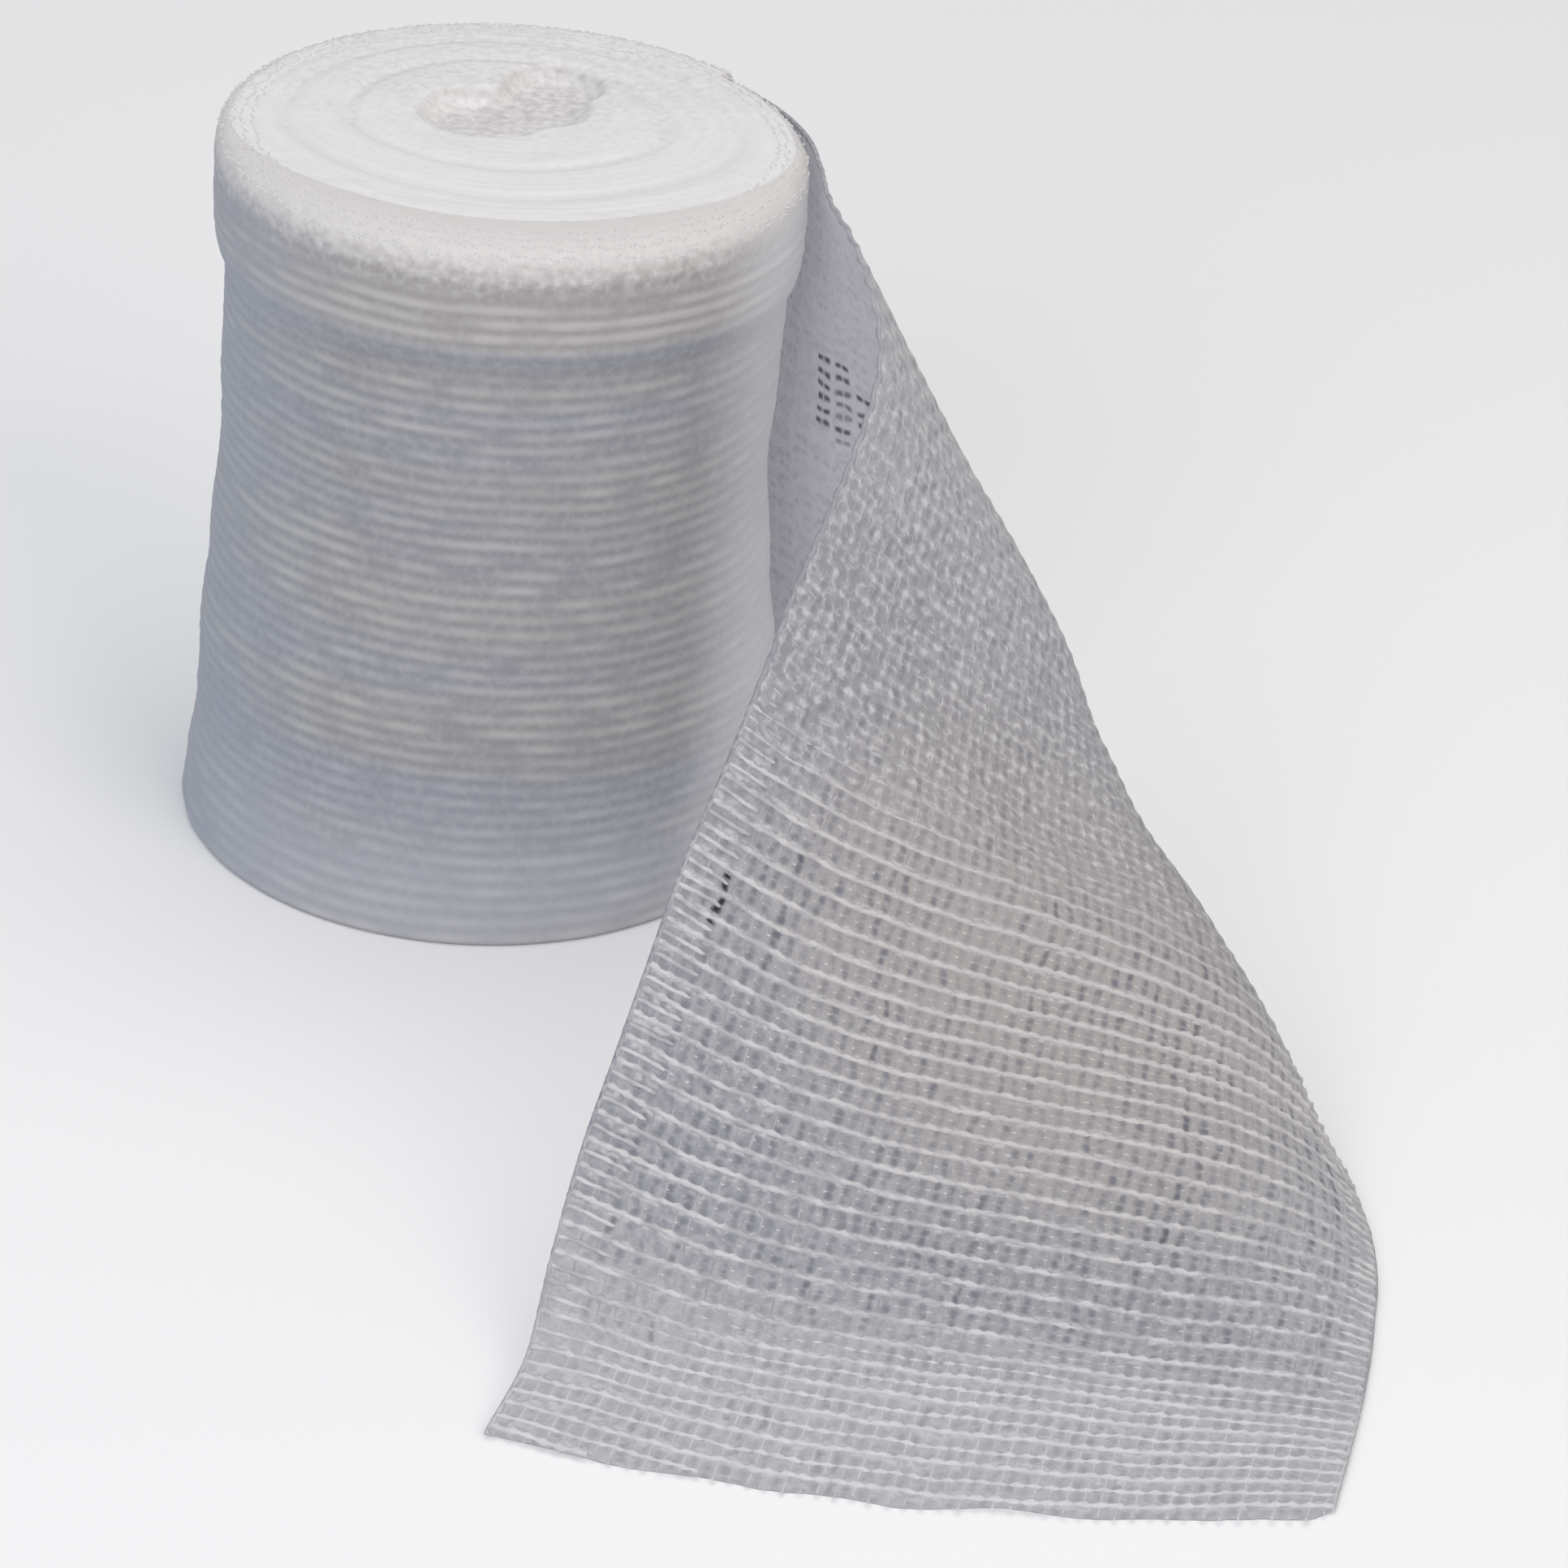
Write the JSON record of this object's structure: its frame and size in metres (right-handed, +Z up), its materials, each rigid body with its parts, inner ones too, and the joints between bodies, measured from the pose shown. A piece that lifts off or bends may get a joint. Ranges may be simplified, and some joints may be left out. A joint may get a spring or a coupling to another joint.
{
  "type": "gauze bandage roll",
  "caption": "White open-weave gauze bandage roll standing on one end, its loose end twisting off the side and lying flat in front.",
  "frame": {"origin": "middle of the wound roll's flat base, on the surface that it stands on", "axes": "+X to the right, the side where the loose end leaves the roll; +Y to the back, away from the loose end's cut edge; +Z up along the wound roll"},
  "size_m": [0.1575, 0.2149, 0.1],
  "materials": {
    "wound_roll": "matt white open-weave gauze, several plies, its wound edges fuzzy",
    "loose_end": "matt white open-weave gauze, several plies, ribbed crosswise"
  },
  "bodies": {
    "root": {"wound_roll": "wound_roll", "loose_end": "loose_end"}
  },
  "joints": []
}
